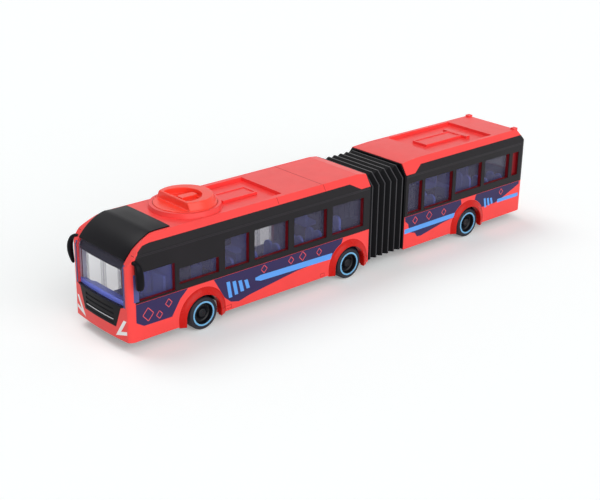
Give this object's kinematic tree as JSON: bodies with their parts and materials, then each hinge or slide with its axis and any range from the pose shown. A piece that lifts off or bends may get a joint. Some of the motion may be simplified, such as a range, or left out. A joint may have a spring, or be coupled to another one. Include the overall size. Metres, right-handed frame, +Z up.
{
  "type": "toy articulated city bus",
  "caption": "Toy articulated bus: hollow front and rear sections on a bellows pivot, roof knob that steers the front wheels, swinging double doors, rolling wheels.",
  "frame": {"origin": "on the floor below the middle of the bus's box", "axes": "+X forward, +Y to the bus's left side, +Z up"},
  "size_m": [0.4, 0.0784, 0.087],
  "materials": {
    "red_plastic": "glossy red moulded plastic",
    "band_black": "satin black print",
    "cap_black": "glossy black plastic",
    "clear_pane": "clear plastic with a faint lilac tint",
    "lamp_white": "white print",
    "seat_blue": "blue moulded plastic",
    "chassis_black": "black moulded plastic",
    "bellows_black": "black soft plastic",
    "wheel_black": "black tyre plastic",
    "ring_blue": "light blue print",
    "lamp_red": "clear red plastic",
    "plate_white": "blank white print",
    "pin_steel": "plain steel pin"
  },
  "bodies": {
    "front_section": {"front_nose": "red_plastic", "front_side_left": "red_plastic", "front_side_right": "red_plastic", "front_roof": "red_plastic", "front_bands": "band_black", "roof_cap": "cap_black", "windscreen": "clear_pane", "sign_board": "cap_black", "grille": "cap_black", "running_lamps": "lamp_white", "front_side_panes": "clear_pane", "front_chassis": "chassis_black", "front_floor": "seat_blue", "front_seats": "seat_blue", "driver_cab": "seat_blue", "dashboard": "seat_blue", "steering_wheel": "cap_black", "mirror_left": "cap_black", "mirror_right": "cap_black", "bellows": "bellows_black"},
    "rear_section": {"rear_side_left": "red_plastic", "rear_side_right": "red_plastic", "rear_roof": "red_plastic", "tail_panel": "red_plastic", "rear_bands": "band_black", "rear_window": "clear_pane", "rear_side_panes": "clear_pane", "rear_chassis": "chassis_black", "rear_floor": "seat_blue", "rear_seats": "seat_blue", "tail_lamps": "lamp_red", "number_plate": "plate_white", "pivot_pin": "pin_steel"},
    "steering_knob": {"steering_knob": "red_plastic"},
    "tie_rod": {"tie_rod": "chassis_black"},
    "knuckle_left": {"knuckle_left": "chassis_black"},
    "knuckle_right": {"knuckle_right": "chassis_black"},
    "front_wheel_left": {"front_wheel_left": "wheel_black", "front_ring_left": "ring_blue"},
    "front_wheel_right": {"front_wheel_right": "wheel_black", "front_ring_right": "ring_blue"},
    "middle_wheelset": {"middle_axle": "pin_steel", "middle_wheels": "wheel_black", "middle_rings": "ring_blue"},
    "rear_wheelset": {"rear_axle": "pin_steel", "rear_wheels": "wheel_black", "rear_rings": "ring_blue"},
    "front_door_fore": {"front_door_fore": "band_black"},
    "front_door_aft": {"front_door_aft": "band_black"},
    "middle_door_fore": {"middle_door_fore": "band_black"},
    "middle_door_aft": {"middle_door_aft": "band_black"},
    "rear_door_fore": {"rear_door_fore": "band_black"},
    "rear_door_aft": {"rear_door_aft": "band_black"}
  },
  "joints": [
    {"name": "articulation", "type": "hinge", "parent": "front_section", "child": "rear_section", "pos_m": [-0.03675, 0, 0.0136], "axis": [0, 0, 1], "range_deg": [-35, 35], "deforming": ["bellows"]},
    {"name": "knob_turn", "type": "hinge", "parent": "front_section", "child": "steering_knob", "pos_m": [0.128, 0, 0.078], "axis": [0, 0, 1], "range_deg": [-45, 45]},
    {"name": "steer_left", "type": "hinge", "parent": "front_section", "child": "knuckle_left", "pos_m": [0.138, 0.0195, 0.0118], "axis": [0, 0, 1], "range_deg": [-21, 21]},
    {"name": "steer_right", "type": "hinge", "parent": "front_section", "child": "knuckle_right", "pos_m": [0.138, -0.0195, 0.0118], "axis": [0, 0, 1], "range_deg": [-21, 21]},
    {"name": "rod_swing", "type": "hinge", "parent": "knuckle_left", "child": "tie_rod", "pos_m": [0.128, 0.0195, 0.01], "axis": [0, 0, 1], "range_deg": [-21, 21]},
    {"name": "front_left_spin", "type": "hinge", "parent": "knuckle_left", "child": "front_wheel_left", "pos_m": [0.138, 0.0276, 0.0118], "axis": [0, 1, 0], "continuous": true},
    {"name": "front_right_spin", "type": "hinge", "parent": "knuckle_right", "child": "front_wheel_right", "pos_m": [0.138, -0.0276, 0.0118], "axis": [0, 1, 0], "continuous": true},
    {"name": "middle_spin", "type": "hinge", "parent": "front_section", "child": "middle_wheelset", "pos_m": [0.002, 0, 0.0118], "axis": [0, 1, 0], "continuous": true},
    {"name": "rear_spin", "type": "hinge", "parent": "rear_section", "child": "rear_wheelset", "pos_m": [-0.1314, 0, 0.0118], "axis": [0, 1, 0], "continuous": true},
    {"name": "front_door", "type": "hinge", "parent": "front_section", "child": "front_door_fore", "pos_m": [0.18865, -0.0313, 0.037], "axis": [0, 0, 1], "range_deg": [0, 85]},
    {"name": "front_door_pair", "type": "hinge", "parent": "front_section", "child": "front_door_aft", "pos_m": [0.16235, -0.0313, 0.037], "axis": [0, 0, -1], "range_deg": [0, 85]},
    {"name": "middle_door", "type": "hinge", "parent": "front_section", "child": "middle_door_fore", "pos_m": [0.05065, -0.0313, 0.037], "axis": [0, 0, 1], "range_deg": [0, 85]},
    {"name": "middle_door_pair", "type": "hinge", "parent": "front_section", "child": "middle_door_aft", "pos_m": [0.02435, -0.0313, 0.037], "axis": [0, 0, -1], "range_deg": [0, 85]},
    {"name": "rear_door", "type": "hinge", "parent": "rear_section", "child": "rear_door_fore", "pos_m": [-0.07835, -0.0313, 0.037], "axis": [0, 0, 1], "range_deg": [0, 85]},
    {"name": "rear_door_pair", "type": "hinge", "parent": "rear_section", "child": "rear_door_aft", "pos_m": [-0.10465, -0.0313, 0.037], "axis": [0, 0, -1], "range_deg": [0, 85]}
  ],
  "couplings": [
    {"joint": "steer_left", "follows": "knob_turn", "ratio": 0.46},
    {"joint": "steer_right", "follows": "knob_turn", "ratio": 0.46},
    {"joint": "rod_swing", "follows": "knob_turn", "ratio": -0.46},
    {"joint": "front_door_pair", "follows": "front_door", "ratio": 1},
    {"joint": "middle_door_pair", "follows": "middle_door", "ratio": 1},
    {"joint": "rear_door_pair", "follows": "rear_door", "ratio": 1}
  ]
}
